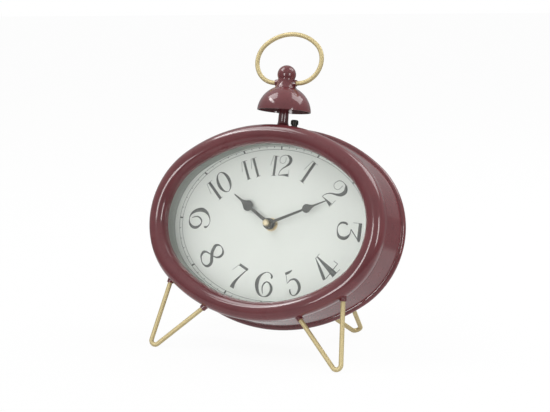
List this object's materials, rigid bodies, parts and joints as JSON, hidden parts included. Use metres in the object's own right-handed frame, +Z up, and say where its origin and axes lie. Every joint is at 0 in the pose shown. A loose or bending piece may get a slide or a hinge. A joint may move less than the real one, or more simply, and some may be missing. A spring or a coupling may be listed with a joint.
{
  "type": "oval table clock with bell",
  "caption": "Oval enamelled metal table clock that leans back on gold wire hairpin legs, with a bell, a carrying ring, spade hands and a battery quartz movement inside.",
  "frame": {"origin": "on the floor, midway between the feet of the four legs", "axes": "+Z up, -Y to the front, where the dial looks, +X to the right seen from the front"},
  "size_m": [0.2366, 0.1209, 0.2692],
  "materials": {
    "enamel": "gloss enamel, burgundy",
    "gold_wire": "satin gold wire",
    "dial_white": "satin, pale greenish white",
    "rehaut_white": "satin, pale grey white",
    "glass": "clear",
    "hand_black": "satin black",
    "stub_black": "satin black",
    "brass": "turned",
    "steel": "zinc plated",
    "magnet": "plastic-bonded ferrite",
    "nickel": "nickel plated",
    "rubber": "matt",
    "black_plastic": "fine grain",
    "white_plastic": "moulded",
    "copper": "enamelled copper wire",
    "board_green": "lacquered board",
    "epoxy_black": "epoxy drop",
    "battery_can": "plain wrapped cell"
  },
  "bodies": {
    "case": {"back_plate": "enamel", "back_posts": "steel", "back_screws": "steel", "battery_contact_minus": "nickel", "battery_contact_plus": "nickel", "bell_dome": "enamel", "bell_stem": "enamel", "bushing": "brass", "bushing_nut": "brass", "bushing_washer": "brass", "case_drum": "enamel", "circuit_board": "board_green", "coil": "copper", "dial_glass": "glass", "dial_plate": "dial_white", "dial_seat_ring": "steel", "driver_chip": "epoxy_black", "finial": "enamel", "front_bezel": "enamel", "gasket": "rubber", "leg_front_left": "gold_wire", "leg_front_right": "gold_wire", "leg_rear_left": "gold_wire", "leg_rear_right": "gold_wire", "leg_sockets_front": "enamel", "leg_sockets_rear": "enamel", "movement_cover": "black_plastic", "movement_tray": "black_plastic", "quartz_crystal": "nickel", "rehaut_ring": "rehaut_white", "stator": "steel", "stem_nut": "steel", "stem_washer": "steel", "striker_stub": "stub_black"},
    "minute": {"minute_arbor": "brass", "minute_hand": "hand_black", "hand_nut": "brass"},
    "hour": {"hour_wheel": "white_plastic", "hour_hand": "hand_black"},
    "minute_gear": {"minute_wheel": "white_plastic"},
    "setting": {"setting_knob": "black_plastic"},
    "centre": {"centre_wheel": "white_plastic"},
    "third": {"third_wheel": "white_plastic"},
    "fourth": {"fourth_wheel": "white_plastic"},
    "intermediate": {"intermediate_wheel": "white_plastic"},
    "motor_rotor": {"rotor": "magnet"},
    "ring": {"ring_handle": "gold_wire"},
    "cell": {"battery": "battery_can"}
  },
  "joints": [
    {"name": "minute_turn", "type": "hinge", "parent": "case", "child": "minute", "pos_m": [0, 0.02351, 0.09975], "axis": [0, 0.9336, -0.3584], "continuous": true},
    {"name": "hour_turn", "type": "hinge", "parent": "case", "child": "hour", "pos_m": [0, 0.02351, 0.09975], "axis": [0, 0.9336, -0.3584], "continuous": true},
    {"name": "minute_wheel_turn", "type": "hinge", "parent": "case", "child": "minute_gear", "pos_m": [-0.0096, 0.02351, 0.09975], "axis": [0, 0.9336, -0.3584], "continuous": true},
    {"name": "setting_turn", "type": "hinge", "parent": "case", "child": "setting", "pos_m": [-0.0144, 0.02649, 0.10751], "axis": [0, 0.9336, -0.3584], "continuous": true},
    {"name": "fourth_turn", "type": "hinge", "parent": "case", "child": "fourth", "pos_m": [0.01271, 0.0272, 0.10938], "axis": [0, 0.9336, -0.3584], "continuous": true},
    {"name": "centre_turn", "type": "hinge", "parent": "case", "child": "centre", "pos_m": [0, 0.02351, 0.09975], "axis": [0, 0.9336, -0.3584], "continuous": true},
    {"name": "third_turn", "type": "hinge", "parent": "case", "child": "third", "pos_m": [0.00957, 0.02411, 0.10132], "axis": [0, 0.9336, -0.3584], "continuous": true},
    {"name": "intermediate_turn", "type": "hinge", "parent": "case", "child": "intermediate", "pos_m": [0.00831, 0.02908, 0.11427], "axis": [0, 0.9336, -0.3584], "continuous": true},
    {"name": "rotor_turn", "type": "hinge", "parent": "case", "child": "motor_rotor", "pos_m": [0.0017, 0.02866, 0.11318], "axis": [0, 0.9336, -0.3584], "continuous": true},
    {"name": "ring_swing", "type": "hinge", "parent": "case", "child": "ring", "pos_m": [0, 0.04996, 0.22516], "axis": [1, 0, 0], "range_deg": [-132, 140]},
    {"name": "battery_out", "type": "slide", "parent": "case", "child": "cell", "axis": [0, 0.9336, -0.3584], "range_m": [0, 0.02]}
  ],
  "couplings": [
    {"joint": "hour_turn", "follows": "minute_turn", "ratio": 0.083333},
    {"joint": "minute_wheel_turn", "follows": "minute_turn", "ratio": -0.33333},
    {"joint": "setting_turn", "follows": "minute_turn", "ratio": 1},
    {"joint": "centre_turn", "follows": "fourth_turn", "ratio": 0.016667},
    {"joint": "third_turn", "follows": "fourth_turn", "ratio": -0.13333},
    {"joint": "intermediate_turn", "follows": "fourth_turn", "ratio": -5},
    {"joint": "rotor_turn", "follows": "fourth_turn", "ratio": 30}
  ]
}
